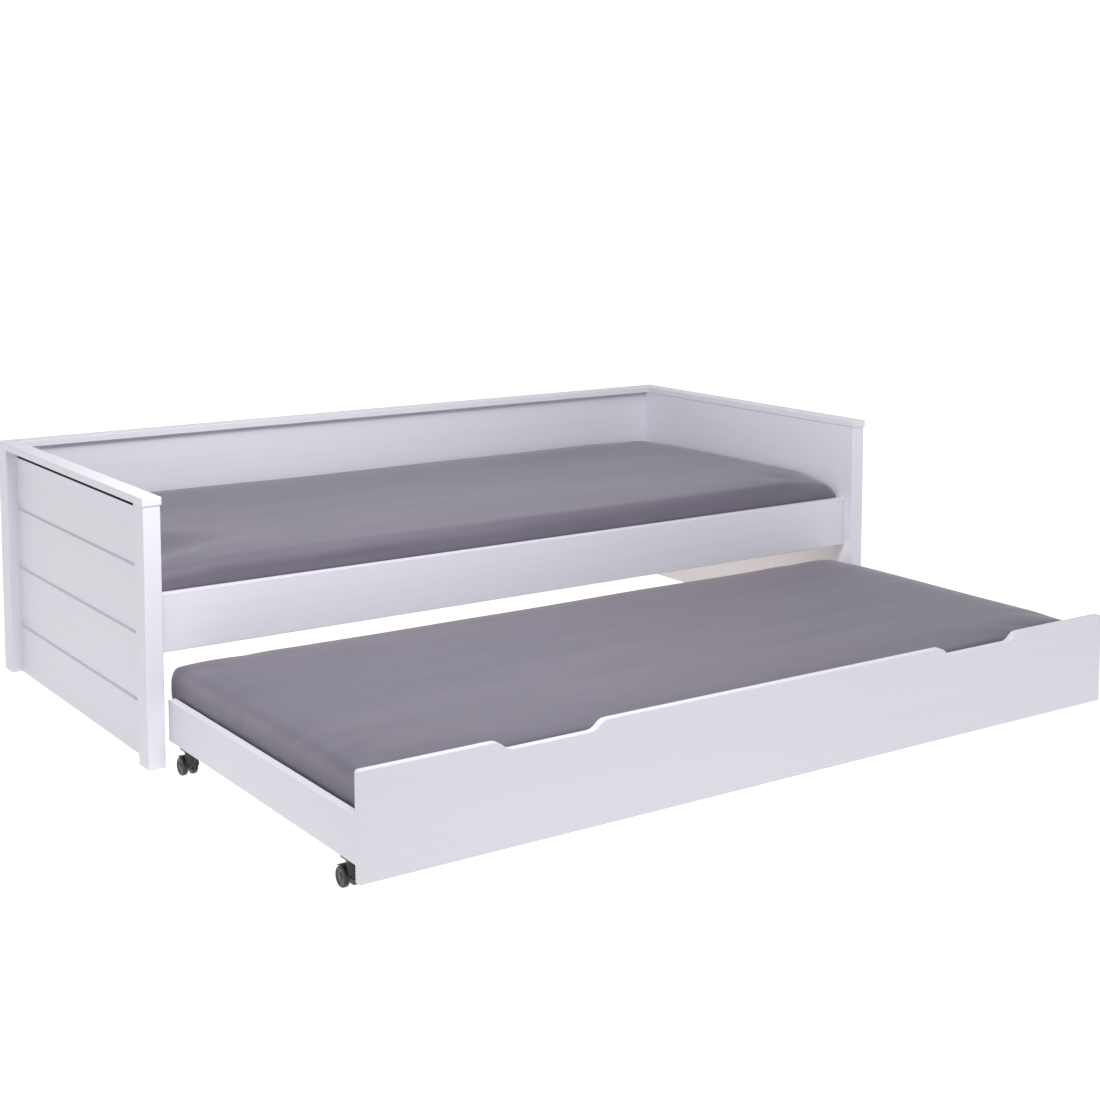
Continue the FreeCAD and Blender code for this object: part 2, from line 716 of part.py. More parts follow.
trundle_cleat_reach = trundle_inner_x - block_width - cleat_end_gap / 2
trundle_cleat_z = trundle_slat_foot - trundle_cleat_height
trundle_cleat_middle = trundle_cleat_z + trundle_cleat_height / 2
trundle_front_cleat = cleat(
    trundle_cleat_reach, trundle_panel_back_y, 1, trundle_cleat_z, trundle_cleat_height
)
trundle_rear_cleat = cleat(
    trundle_cleat_reach, rear_rail_front_y, -1, trundle_cleat_z, trundle_cleat_height
)
trundle_cleat_screws = cleat_screws(trundle_cleat_reach, trundle_panel_back_y, 1, trundle_cleat_middle)
trundle_cleat_screws += cleat_screws(trundle_cleat_reach, rear_rail_front_y, -1, trundle_cleat_middle)

trundle_slat_y0 = trundle_panel_back_y + slat_end_gap
trundle_slat_y1 = rear_rail_front_y - slat_end_gap
trundle_slats = slats(
    trundle_slat_count, trundle_cleat_reach, trundle_slat_y0, trundle_slat_y1,
    trundle_slat_foot, trundle_slat_thickness,
)
trundle_tapes = slat_tapes(
    trundle_slat_count, trundle_cleat_reach, trundle_slat_y0, trundle_slat_y1, trundle_slat_foot
)
trundle_slat_screws = end_slat_screws(
    trundle_slat_count, trundle_cleat_reach, trundle_slat_y0, trundle_slat_y1, trundle_slat_level
)

caster_words = {(-1, -1): "front_left", (1, -1): "front_right", (-1, 1): "rear_left", (1, 1): "rear_right"}
caster_places = {
    (side, back): (side * caster_x, rear_caster_y if back > 0 else front_caster_y) for side, back in corners
}
caster_screws = []
for x, y in caster_places.values():
    caster_screws += plate_screws(x, y)

trundle_fasteners = trundle_dowels + trundle_bracket_screws + trundle_cleat_screws
trundle_fasteners += trundle_slat_screws + caster_screws
save("trundle_front_panel", drilled(trundle_front_panel(), trundle_fasteners))
save("trundle_rear_rail", drilled(trundle_rear_rail(), trundle_fasteners))
for side, word in ((-1, "left"), (1, "right")):
    save("trundle_" + word + "_rail", drilled(trundle_side_rail(side), trundle_fasteners))
save("trundle_front_cleat", drilled(trundle_front_cleat, trundle_fasteners))
save("trundle_rear_cleat", drilled(trundle_rear_cleat, trundle_fasteners))
caster_blocks = [caster_block(side, back < 0) for side, back in corners]
save("trundle_caster_blocks", group([drilled(b, caster_screws) for b in caster_blocks]))
save("trundle_slats", group([drilled(s, trundle_slat_screws) for s in trundle_slats]))
save("trundle_slat_tapes", group(trundle_tapes))
save("trundle_slat_screws", group(trundle_slat_screws))
save("trundle_corner_brackets", group([drilled(b, trundle_bracket_screws) for b in trundle_brackets]))
save("trundle_bracket_screws", group(trundle_bracket_screws))
save("trundle_cleat_screws", group(trundle_cleat_screws))
save("trundle_dowels", group(trundle_dowels))
trundle_mattress, trundle_sheet = mattress_and_sheet(
    trundle_inner_x, trundle_panel_back_y, trundle_rear_y + trundle_mattress_overhang + bedding_clearance,
    trundle_slat_level, trundle_mattress_top,
)
save("trundle_mattress", trundle_mattress)
save("trundle_fitted_sheet", trundle_sheet)
save("caster_plates", group([drilled(plate(x, y), caster_screws) for x, y in caster_places.values()]))
save("caster_plate_screws", group(caster_screws))
save("caster_kingpins", group([kingpin(x, y) for x, y in caster_places.values()]))
for corner, (x, y) in caster_places.items():
    word = "caster_" + caster_words[corner] + "_"
    save(word + "housing", caster_housing(x, y))
    save(word + "axle", caster_axle(x, y))
    save(word + "left_wheel", caster_wheel(x, y, -1))
    save(word + "right_wheel", caster_wheel(x, y, 1))
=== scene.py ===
import math

import bmesh
import bpy
import numpy as np
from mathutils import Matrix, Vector, noise


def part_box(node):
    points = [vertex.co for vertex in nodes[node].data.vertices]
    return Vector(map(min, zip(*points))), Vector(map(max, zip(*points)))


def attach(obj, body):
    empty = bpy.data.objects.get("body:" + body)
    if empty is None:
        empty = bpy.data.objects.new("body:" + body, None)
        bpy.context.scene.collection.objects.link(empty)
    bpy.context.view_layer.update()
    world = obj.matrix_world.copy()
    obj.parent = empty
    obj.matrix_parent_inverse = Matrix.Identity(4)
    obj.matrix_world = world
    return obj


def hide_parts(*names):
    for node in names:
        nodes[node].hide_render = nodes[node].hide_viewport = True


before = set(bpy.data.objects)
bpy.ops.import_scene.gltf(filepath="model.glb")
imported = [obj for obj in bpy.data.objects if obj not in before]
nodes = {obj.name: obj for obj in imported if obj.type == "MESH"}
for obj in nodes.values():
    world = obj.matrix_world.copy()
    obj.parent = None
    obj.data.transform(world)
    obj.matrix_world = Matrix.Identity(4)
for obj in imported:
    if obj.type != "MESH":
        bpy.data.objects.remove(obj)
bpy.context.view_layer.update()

mm = 0.001


def toLinear(hexColour):
    # sRGB hex such as "d7d6e0" to the linear values that shader sockets take
    values = [int(hexColour[i:i + 2], 16) / 255 for i in (0, 2, 4)]
    linear = [v / 12.92 if v <= 0.04045 else ((v + 0.055) / 1.055) ** 2.4 for v in values]
    return (*linear, 1.0)


def addNode(tree, kind, settings=None, inputs=None):
    # one node with its settings; an input takes a value, or another node's output to link
    node = tree.nodes.new(kind)
    for name, value in (settings or {}).items():
        setattr(node, name, value)
    for key, value in (inputs or {}).items():
        if isinstance(value, bpy.types.NodeSocket):
            tree.links.new(value, node.inputs[key])
        else:
            node.inputs[key].default_value = value
    return node


def newFinish(name, roughness, metallic=0.0, ior=1.5):
    # a material with its surface shader, ready for patterns
    finish = bpy.data.materials.new(name)
    finish.use_nodes = True
    tree = finish.node_tree
    surface = tree.nodes["Principled BSDF"]
    surface.inputs["Roughness"].default_value = roughness
    surface.inputs["Metallic"].default_value = metallic
    surface.inputs["IOR"].default_value = ior
    place = addNode(tree, "ShaderNodeTexCoord")
    return finish, tree, surface, place.outputs["Object"]


def workIn(tree, surface, tones=None, gloss=None, reliefs=()):
    # patterns worked into a surface: two near tones, a spread of roughness, reliefs of a real depth
    if tones:
        pattern, darkHex, lightHex, low, high = tones
        ramp = addNode(tree, "ShaderNodeValToRGB", inputs={"Fac": pattern})
        dark, light = ramp.color_ramp.elements
        dark.position = low
        dark.color = toLinear(darkHex)
        light.position = high
        light.color = toLinear(lightHex)
        tree.links.new(ramp.outputs["Color"], surface.inputs["Base Color"])
    if gloss:
        pattern, low, high = gloss
        spread = addNode(tree, "ShaderNodeMapRange", inputs={
            "Value": pattern, "To Min": low, "To Max": high})
        tree.links.new(spread.outputs["Result"], surface.inputs["Roughness"])
    facing = None
    for pattern, depth, strength in reliefs:
        inputs = {"Height": pattern, "Distance": depth, "Strength": strength}
        if facing:
            inputs["Normal"] = facing
        facing = addNode(tree, "ShaderNodeBump", inputs=inputs).outputs["Normal"]
    if facing:
        tree.links.new(facing, surface.inputs["Normal"])


grainAxes = {"x": (1, 0, 0), "y": (0, 1, 0), "z": (0, 0, 1)}

pineLook = {
    "fibreWidth": 1.1 * mm,     # real fibres are 0.05 mm wide: drawn coarser so that they show
    "fibreLength": 60 * mm,
    "ringSpacing": 7 * mm,      # growth rings of a flat-sawn board
    "figureLength": 420 * mm,
}


def grainScale(axis, length, width):
    # Mapping scale that draws a pattern out along the grain
    return tuple(1 / length if on else 1 / width for on in grainAxes[axis])


def pineFigure(tree, place, axis):
    # drawn-out fibres and the growth rings that wander across the board
    fibres = addNode(tree, "ShaderNodeMapping", inputs={
        "Vector": place, "Scale": grainScale(axis, pineLook["fibreLength"], pineLook["fibreWidth"])})
    fibreNoise = addNode(tree, "ShaderNodeTexNoise", inputs={
        "Vector": fibres.outputs["Vector"], "Scale": 1.0, "Detail": 3.0, "Roughness": 0.6})
    rings = addNode(tree, "ShaderNodeMapping", inputs={
        "Vector": place, "Scale": grainScale(axis, pineLook["figureLength"], pineLook["ringSpacing"])})
    ringNoise = addNode(tree, "ShaderNodeTexNoise", inputs={
        "Vector": rings.outputs["Vector"], "Scale": 0.55, "Detail": 2.0,
        "Roughness": 0.45, "Distortion": 0.35})
    return fibreNoise.outputs["Fac"], ringNoise.outputs["Fac"]


lacquerLook = {
    "tones": ("d8d7e0", "dbdae3"),
    "gloss": (0.36, 0.5),
    "coat": 0.12,
    "coatRoughness": 0.25,
    "peelPerMetre": 420.0,      # orange peel of the sprayed coat
}


def whiteLacquerOnPine(axis):
    # pine boards, sanded and sprayed with white satin lacquer: the grain shows only as faint ridges
    finish, tree, surface, place = newFinish("whiteLacquerOnPineAlong" + axis.upper(), 0.42, ior=1.49)
    fibre, ring = pineFigure(tree, place, axis)
    mixed = addNode(tree, "ShaderNodeMath", {"operation": "MULTIPLY_ADD"}, {0: fibre, 1: 0.45, 2: ring})
    spray = addNode(tree, "ShaderNodeTexNoise", inputs={
        "Vector": place, "Scale": lacquerLook["peelPerMetre"], "Detail": 2.0})
    workIn(
        tree, surface, tones=(mixed.outputs["Value"], *lacquerLook["tones"], 0.4, 1.0),
        gloss=(ring, *lacquerLook["gloss"]),
        reliefs=((fibre, 0.08 * mm, 0.4), (ring, 0.08 * mm, 0.3), (spray.outputs["Fac"], 0.03 * mm, 0.4)))
    surface.inputs["Coat Weight"].default_value = lacquerLook["coat"]
    surface.inputs["Coat Roughness"].default_value = lacquerLook["coatRoughness"]
    return finish


# the rebate under the cap: its size, and the near black that paints the shade in it
gap = {"height": 20 * mm, "depth": 8 * mm, "slack": 0.3 * mm, "shadeColour": "1d1d24"}


def withPaintedGapShade(finish, board, axis):
    # painted shade: the rebate under the cap is coloured near black, standing in for the deep shadow inside
    # the slot
    low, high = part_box(board)
    tree = finish.node_tree
    surface = tree.nodes["Principled BSDF"]
    place = addNode(tree, "ShaderNodeTexCoord")
    split = addNode(tree, "ShaderNodeSeparateXYZ", inputs={0: place.outputs["Object"]})
    across = addNode(tree, "ShaderNodeMath", {"operation": "ABSOLUTE"}, {0: split.outputs[axis]})
    face = max(abs(low["XYZ".index(axis)]), abs(high["XYZ".index(axis)]))
    inside = addNode(tree, "ShaderNodeMath", {"operation": "LESS_THAN"}, {
        0: across.outputs["Value"], 1: face - gap["slack"]})
    behind = addNode(tree, "ShaderNodeMath", {"operation": "GREATER_THAN"}, {
        0: across.outputs["Value"], 1: face - gap["depth"] - gap["slack"]})
    above = addNode(tree, "ShaderNodeMath", {"operation": "GREATER_THAN"}, {
        0: split.outputs["Z"], 1: high.z - gap["height"] - gap["slack"]})
    both = addNode(tree, "ShaderNodeMath", {"operation": "MULTIPLY"}, {
        0: inside.outputs["Value"], 1: above.outputs["Value"]})
    within = addNode(tree, "ShaderNodeMath", {"operation": "MULTIPLY"}, {
        0: both.outputs["Value"], 1: behind.outputs["Value"]})
    lacquer = surface.inputs["Base Color"].links[0].from_socket
    painted = addNode(tree, "ShaderNodeMix", {"data_type": "RGBA"}, {
        0: within.outputs["Value"], 6: lacquer, 7: toLinear(gap["shadeColour"])})   # 6 and 7: the two colours
    tree.links.new(painted.outputs[2], surface.inputs["Base Color"])
    return finish


def planedPine(axis):
    # unfinished planed softwood: yellow summer wood, darker winter rings, dry surface
    finish, tree, surface, place = newFinish("planedPineAlong" + axis.upper(), 0.62, ior=1.53)
    fibre, ring = pineFigure(tree, place, axis)
    mixed = addNode(tree, "ShaderNodeMath", {"operation": "MULTIPLY_ADD"}, {0: fibre, 1: 0.35, 2: ring})
    workIn(
        tree, surface, tones=(mixed.outputs["Value"], "c79f6c", "e6c898", 0.5, 0.85),
        gloss=(fibre, 0.52, 0.72), reliefs=((fibre, 0.15 * mm, 0.6),))
    return finish


def turnedBeech():
    # fluted beech dowel: pinkish tan with short dark flecks
    finish, tree, surface, place = newFinish("turnedBeech", 0.6, ior=1.53)
    stretched = addNode(tree, "ShaderNodeMapping", inputs={"Vector": place, "Scale": (160, 160, 160)})
    fleck = addNode(tree, "ShaderNodeTexVoronoi", inputs={
        "Vector": stretched.outputs["Vector"], "Scale": 3.0}).outputs["Distance"]
    workIn(tree, surface, tones=(fleck, "b98f66", "d3ad83", 0.1, 0.6), reliefs=((fleck, 0.1 * mm, 0.5),))
    return finish


jerseyLook = {
    "tones": ("5f5a68", "696371"),
    "waleSpacing": 2.4 * mm,    # real wales are 0.8 mm apart: drawn three times as coarse so that they show
    "streaksPerMetre": (2.2, 17, 17),
    "bloom": 0.42,
    "bloomTint": "f0edf6",
}


def greyJersey():
    # dyed cotton jersey pulled tight: matt, with a soft bloom at glancing angles and faint pulled streaks
    finish, tree, surface, place = newFinish("greyJersey", 0.6, ior=1.46)
    streaks = addNode(tree, "ShaderNodeMapping", inputs={
        "Vector": place, "Scale": jerseyLook["streaksPerMetre"]})
    streakNoise = addNode(tree, "ShaderNodeTexNoise", inputs={
        "Vector": streaks.outputs["Vector"], "Scale": 1.0, "Detail": 4.0,
        "Roughness": 0.55, "Distortion": 0.5}).outputs["Fac"]
    knitPlace = addNode(tree, "ShaderNodeMapping", inputs={
        "Vector": place, "Scale": (1 / jerseyLook["waleSpacing"],) * 3})
    knit = addNode(tree, "ShaderNodeTexVoronoi", {"feature": "SMOOTH_F1"}, {
        "Vector": knitPlace.outputs["Vector"], "Scale": 1.0, "Randomness": 0.35, "Smoothness": 0.6})
    workIn(
        tree, surface, tones=(streakNoise, *jerseyLook["tones"], 0.3, 0.7),
        reliefs=((knit.outputs["Distance"], 0.35 * mm, 0.35), (streakNoise, 3 * mm, 0.25)))
    surface.inputs["Sheen Weight"].default_value = jerseyLook["bloom"]
    surface.inputs["Sheen Roughness"].default_value = 0.5
    surface.inputs["Sheen Tint"].default_value = toLinear(jerseyLook["bloomTint"])
    surface.inputs["Specular IOR Level"].default_value = 0.35
    return finish


def mattressTicking():
    # white polyester ticking knitted in small diamonds, with a dry, slightly fuzzy face
    finish, tree, surface, place = newFinish("mattressTicking", 0.85, ior=1.46)
    diamondSize = 9 * mm
    turned = addNode(tree, "ShaderNodeMapping", inputs={
        "Vector": place, "Rotation": (0, 0, math.pi / 4), "Scale": (1 / diamondSize,) * 3})
    diamonds = addNode(tree, "ShaderNodeTexVoronoi", {"distance": "CHEBYCHEV"}, {
        "Vector": turned.outputs["Vector"], "Scale": 1.0, "Randomness": 0.0}).outputs["Distance"]
    workIn(
        tree, surface, tones=(diamonds, "dcdad4", "efeee9", 0.1, 0.6),
        reliefs=((diamonds, 0.8 * mm, 0.5),))
    surface.inputs["Sheen Weight"].default_value = 0.15
    return finish


def wovenTape():
    # undyed cotton webbing, plain weave
    finish, tree, surface, place = newFinish("wovenTape", 0.9, ior=1.46)
    threadSpacing = 1.6 * mm
    weavePlace = addNode(tree, "ShaderNodeMapping", inputs={
        "Vector": place, "Scale": (1 / threadSpacing,) * 3})
    weave = addNode(tree, "ShaderNodeTexChecker", inputs={
        "Vector": weavePlace.outputs["Vector"], "Scale": 1.0,
        "Color1": toLinear("d8d2c2"), "Color2": toLinear("bdb6a4")})
    tree.links.new(weave.outputs["Color"], surface.inputs["Base Color"])
    workIn(tree, surface, reliefs=((weave.outputs["Fac"], 0.3 * mm, 0.5),))
    return finish


def zincPlatedSteel():
    # pressed steel in bright zinc: bluish grey, softly clouded
    finish, tree, surface, place = newFinish("zincPlatedSteel", 0.38, metallic=1.0)
    cloud = addNode(tree, "ShaderNodeTexNoise", inputs={
        "Vector": place, "Scale": 160.0, "Detail": 4.0}).outputs["Fac"]
    workIn(
        tree, surface, tones=(cloud, "a9adb2", "c8cbcf", 0.3, 0.7),
        gloss=(cloud, 0.3, 0.48), reliefs=((cloud, 0.05 * mm, 0.4),))
    return finish


def brightSteel():
    # drawn and polished pins and axles, with fine turning marks
    finish, tree, surface, place = newFinish("brightSteel", 0.22, metallic=1.0)
    marks = addNode(tree, "ShaderNodeTexNoise", inputs={
        "Vector": place, "Scale": 900.0, "Detail": 2.0}).outputs["Fac"]
    workIn(tree, surface, tones=(marks, "b9babc", "d2d3d5", 0.3, 0.7), gloss=(marks, 0.16, 0.3))
    return finish


def blackPlateSteel():
    # pressed caster plate in black powder coat: fine bumps, dull gloss
    finish, tree, surface, place = newFinish("blackPlateSteel", 0.5, ior=1.5)
    powder = addNode(tree, "ShaderNodeTexNoise", inputs={
        "Vector": place, "Scale": 1400.0, "Detail": 2.0}).outputs["Fac"]
    workIn(tree, surface, tones=(powder, "161618", "232326", 0.3, 0.7), reliefs=((powder, 0.08 * mm, 0.6),))
    return finish


def mouldedNylon(name, darkHex, lightHex, low, high):
    # black nylon as it leaves the mould: satin, with a very fine spark texture
    finish, tree, surface, place = newFinish(name, (low + high) / 2, ior=1.53)
    spark = addNode(tree, "ShaderNodeTexNoise", inputs={"Vector": place, "Scale": 1100.0, "Detail": 3.0})
    flow = addNode(tree, "ShaderNodeTexNoise", inputs={
        "Vector": place, "Scale": 60.0, "Detail": 2.0}).outputs["Fac"]
    workIn(
        tree, surface, tones=(flow, darkHex, lightHex, 0.3, 0.7),
        gloss=(flow, low, high), reliefs=((spark.outputs["Fac"], 0.04 * mm, 0.5),))
    return finish


def scuffedGlide():
    # pale polythene foot, rubbed dull where it meets the floor
    finish, tree, surface, place = newFinish("scuffedGlide", 0.5, ior=1.5)
    scuff = addNode(tree, "ShaderNodeTexNoise", inputs={
        "Vector": place, "Scale": 240.0, "Detail": 4.0}).outputs["Fac"]
    workIn(tree, surface, tones=(scuff, "b4b3ad", "d0cfc9", 0.3, 0.7), gloss=(scuff, 0.4, 0.65))
    return finish


finishes = {
    "lacquerX": whiteLacquerOnPine("x"),
    "lacquerY": whiteLacquerOnPine("y"),
    "lacquerZ": whiteLacquerOnPine("z"),
    "pineX": planedPine("x"),
    "pineY": planedPine("y"),
    "beech": turnedBeech(),
    "jersey": greyJersey(),
    "ticking": mattressTicking(),
    "tape": wovenTape(),
    "zinc": zincPlatedSteel(),
    "bright": brightSteel(),
    "blackPlate": blackPlateSteel(),
    "housing": mouldedNylon("housingNylon", "141416", "1e1e21", 0.42, 0.56),
    "wheel": mouldedNylon("wheelNylon", "0f0f11", "18181b", 0.28, 0.42),
    "glide": scuffedGlide(),
}
print("finishes:", len(finishes))

# which finish goes on which of the frame's own solids
corners = [f"{side}_{end}" for side in ("left", "right") for end in ("front", "rear")]
casterNames = [f"caster_{end}_{side}" for end in ("front", "rear") for side in ("left", "right")]

nodeFinishes = {
    "left_end_panel": "gapEnds", "right_end_panel": "gapEnds", "back_panel": "gapBack",
    "left_cap_rail": "lacquerY", "right_cap_rail": "lacquerY",
    "back_cap_rail": "lacquerX", "front_side_rail": "lacquerX",
    "trundle_front_panel": "lacquerX", "trundle_rear_rail": "lacquerX",
    "trundle_left_rail": "lacquerY", "trundle_right_rail": "lacquerY",
    "front_slat_cleat": "pineX", "back_slat_cleat": "pineX",
    "trundle_front_cleat": "pineX", "trundle_rear_cleat": "pineX",
    "trundle_caster_blocks": "pineX",
    "bed_slats": "pineY", "trundle_slats": "pineY",
    "bed_slat_tapes": "tape", "trundle_slat_tapes": "tape",
    "frame_dowels": "beech", "trundle_dowels": "beech",
    "frame_corner_brackets": "zinc", "trundle_corner_brackets": "zinc",
    "bed_slat_screws": "zinc", "frame_bracket_screws": "zinc", "bed_cleat_screws": "zinc",
    "trundle_slat_screws": "zinc", "trundle_bracket_screws": "zinc", "trundle_cleat_screws": "zinc",
    "caster_plates": "blackPlate", "caster_plate_screws": "zinc", "caster_kingpins": "bright",
    "post_glides": "glide",
}
for corner in corners:
    nodeFinishes[corner + "_post"] = "lacquerZ"
for caster in casterNames:
    nodeFinishes[caster + "_housing"] = "housing"
    nodeFinishes[caster + "_axle"] = "bright"
    nodeFinishes[caster + "_left_wheel"] = "wheel"
    nodeFinishes[caster + "_right_wheel"] = "wheel"

# end and back panels: lacquer with painted shade in the rebate under the cap
finishes["gapEnds"] = withPaintedGapShade(whiteLacquerOnPine("y"), "left_end_panel", "X")
finishes["gapBack"] = withPaintedGapShade(whiteLacquerOnPine("x"), "back_panel", "Y")

for nodeName, finishName in nodeFinishes.items():
    for materialSlot in nodes[nodeName].material_slots:
        materialSlot.material = finishes[finishName]
print("frame nodes finished:", len(nodeFinishes))


def newTree(name, inputs):
    # a geometry tree with its named sizes; returns the tree, its input node and its output node
    tree = bpy.data.node_groups.new(name, "GeometryNodeTree")
    tree.interface.new_socket("Geometry", in_out="INPUT", socket_type="NodeSocketGeometry")
    tree.interface.new_socket("Geometry", in_out="OUTPUT", socket_type="NodeSocketGeometry")
    for inputName, value in inputs.items():
        kind = "NodeSocketInt" if isinstance(value, int) else "NodeSocketFloat"
        kind = "NodeSocketMaterial" if isinstance(value, bpy.types.Material) else kind
        socket = tree.interface.new_socket(inputName, in_out="INPUT", socket_type=kind)
        if kind != "NodeSocketMaterial":
            socket.default_value = value
    return tree, addNode(tree, "NodeGroupInput"), addNode(tree, "NodeGroupOutput")


def endTree(tree, start, end, geometry):
    # instances made real and given their finish
    solid = addNode(tree, "GeometryNodeRealizeInstances", inputs={"Geometry": geometry})
    finished = addNode(tree, "GeometryNodeSetMaterial", inputs={
        "Geometry": solid.outputs["Geometry"], "Material": start.outputs["finish"]})
    tree.links.new(finished.outputs["Geometry"], end.inputs["Geometry"])
    return tree


def growOn(data, name, tree, values, body):
    # run the tree on a mesh or curve, keep the plain mesh, and let it ride
    obj = bpy.data.objects.new(name, data)
    bpy.context.scene.collection.objects.link(obj)
    modifier = obj.modifiers.new(name, "NODES")
    modifier.node_group = tree
    for item in tree.interface.items_tree:
        if item.in_out == "INPUT" and item.name in values:
            modifier[item.identifier] = values[item.name]
    graph = bpy.context.evaluated_depsgraph_get()
    mesh = bpy.data.meshes.new_from_object(obj.evaluated_get(graph))
    bpy.data.objects.remove(obj)
    mesh.name = name
    piece = bpy.data.objects.new(name, mesh)
    bpy.context.scene.collection.objects.link(piece)
    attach(piece, body)
    print(name, "faces:", len(mesh.polygons))
    return piece


stapleLook = {"crown": 10 * mm, "wire": 1.2 * mm, "sides": 8, "finish": finishes["zinc"]}
stapleRows = {
    "slatWidth": 68 * mm,
    "fromMiddle": 0.22,         # each staple's place, as a share of the slat's width
    "fromMiddleAtEnds": 0.12,   # the tape ends sooner on the first and last slat
    "sunk": 0.3,                # share of the wire pressed into the tape
}


def rodOnPoints(tree, start, points, rotation, axis, length, width):
    # a short capped rod, centred on every point and lying along one axis
    ends = []
    for way in (-0.5, 0.5):
        half = addNode(tree, "ShaderNodeMath", {"operation": "MULTIPLY"}, {
            0: start.outputs[length], 1: way})
        ends.append(addNode(tree, "ShaderNodeCombineXYZ", inputs={axis: half.outputs["Value"]}))
    line = addNode(tree, "GeometryNodeCurvePrimitiveLine", inputs={
        "Start": ends[0].outputs["Vector"], "End": ends[1].outputs["Vector"]})
    radius = addNode(tree, "ShaderNodeMath", {"operation": "MULTIPLY"}, {0: start.outputs[width], 1: 0.5})
    section = addNode(tree, "GeometryNodeCurvePrimitiveCircle", inputs={
        "Resolution": start.outputs["sides"], "Radius": radius.outputs["Value"]})
    rod = addNode(tree, "GeometryNodeCurveToMesh", inputs={
        "Curve": line.outputs["Curve"], "Profile Curve": section.outputs["Curve"], "Fill Caps": True})
    places = {"Points": points, "Instance": rod.outputs["Mesh"]}
    if rotation:
        places["Rotation"] = rotation
    return addNode(tree, "GeometryNodeInstanceOnPoints", inputs=places).outputs["Instances"]


def stapleTree():
    # a flattened wire crown on every point, lying across the tape
    tree, start, end = newTree("stapleTree", stapleLook)
    rods = rodOnPoints(tree, start, start.outputs["Geometry"], None, "Y", "crown", "wire")
    return endTree(tree, start, end, rods)


def stapleTapes(name, slatNode, tapeNode, slatCount, body):
    # two staples through each tape into every slat
    slatLow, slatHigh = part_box(slatNode)
    tapeLow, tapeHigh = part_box(tapeNode)
    slatWidth = stapleRows["slatWidth"]
    step = (slatHigh.x - slatLow.x - slatWidth) / (slatCount - 1)
    halfTape = 10 * mm
    depth = tapeLow.z - stapleLook["wire"] * stapleRows["sunk"]
    places = []
    for i in range(slatCount):
        middle = slatLow.x + slatWidth / 2 + i * step
        share = stapleRows["fromMiddleAtEnds" if i in (0, slatCount - 1) else "fromMiddle"]
        for y in (tapeLow.y + halfTape, tapeHigh.y - halfTape):
            for side in (-1, 1):
                places.append((middle + side * slatWidth * share, y, depth))
    mesh = bpy.data.meshes.new(name)
    mesh.from_pydata(places, [], [])
    return growOn(mesh, name, staples, stapleLook, body)


staples = stapleTree()
stapleTapes("bedTapeStaples", "bed_slats", "bed_slat_tapes", 16, "bed_frame")
stapleTapes("trundleTapeStaples", "trundle_slats", "trundle_slat_tapes", 14, "trundle")

stitchLook = {
    "spacing": 7 * mm,
    "length": 4 * mm,
    "thread": 0.7 * mm,
    "sides": 6,
    "finish": finishes["jersey"],
}


def stitchTree():
    # short raised threads along a sewn line
    tree, start, end = newTree("stitchTree", stitchLook)
    points = addNode(tree, "GeometryNodeCurveToPoints", {"mode": "LENGTH"}, {
        "Curve": start.outputs["Geometry"], "Length": start.outputs["spacing"]})
    rods = rodOnPoints(
        tree, start, points.outputs["Points"], points.outputs["Rotation"], "Z", "length", "thread")
    return endTree(tree, start, end, rods)


casingLook = {"casing": 1.0 * mm, "sides": 8, "finish": finishes["jersey"]}


def casingTree():
    # the round elastic casing that edges the sheet
    tree, start, end = newTree("casingTree", casingLook)
    section = addNode(tree, "GeometryNodeCurvePrimitiveCircle", inputs={
        "Resolution": start.outputs["sides"], "Radius": start.outputs["casing"]})
    tube = addNode(tree, "GeometryNodeCurveToMesh", inputs={
        "Curve": start.outputs["Geometry"], "Profile Curve": section.outputs["Curve"]})
    smooth = addNode(tree, "GeometryNodeSetShadeSmooth", inputs={"Geometry": tube.outputs["Mesh"]})
    return endTree(tree, start, end, smooth.outputs["Geometry"])


stitches = stitchTree()
casing = casingTree()


def closedPath(name, points, lift, inwards):
    # closed curve through points, moved up and towards its own middle
    middle = sum(points, Vector()) / len(points)
    curve = bpy.data.curves.new(name, "CURVE")
    curve.dimensions = "3D"
    spline = curve.splines.new("POLY")
    spline.points.add(len(points) - 1)
    for spot, point in zip(spline.points, points):
        way = Vector((point.x - middle.x, point.y - middle.y, 0))
        moved = point - way.normalized() * inwards
        spot.co = (moved.x, moved.y, moved.z + lift, 1)
    spline.use_cyclic_u = True
    return curve


bedding = {
    "voxel": 18 * mm,
    "pressure": 4.0,
    "frames": 20,
    "swell": 8 * mm,            # the most that the ticking bulges
    "cornerRadius": 13 * mm,
    "rimRadius": 20 * mm,
    "sheetGap": 0.5 * mm,       # from ticking to the inside of the sheet
    "sheetThickness": 0.9 * mm,
    "hemReach": 95 * mm,        # how far the sheet is tucked under
    "quilt": {"spacing": 160 * mm, "width": 9 * mm, "depth": 3 * mm},
    "hillSpacing": 330 * mm,
    "droopReach": 170 * mm,
    "bandSpacing": 120 * mm,    # of the uneven pull along the sides
    "bandReach": 60 * mm,
    "rimLift": 0.6 * mm,        # the elastic casing lies this far above the open edge
    "seamReach": 14 * mm,       # from the open edge out to the stitches
    "fill": 0.95,
}


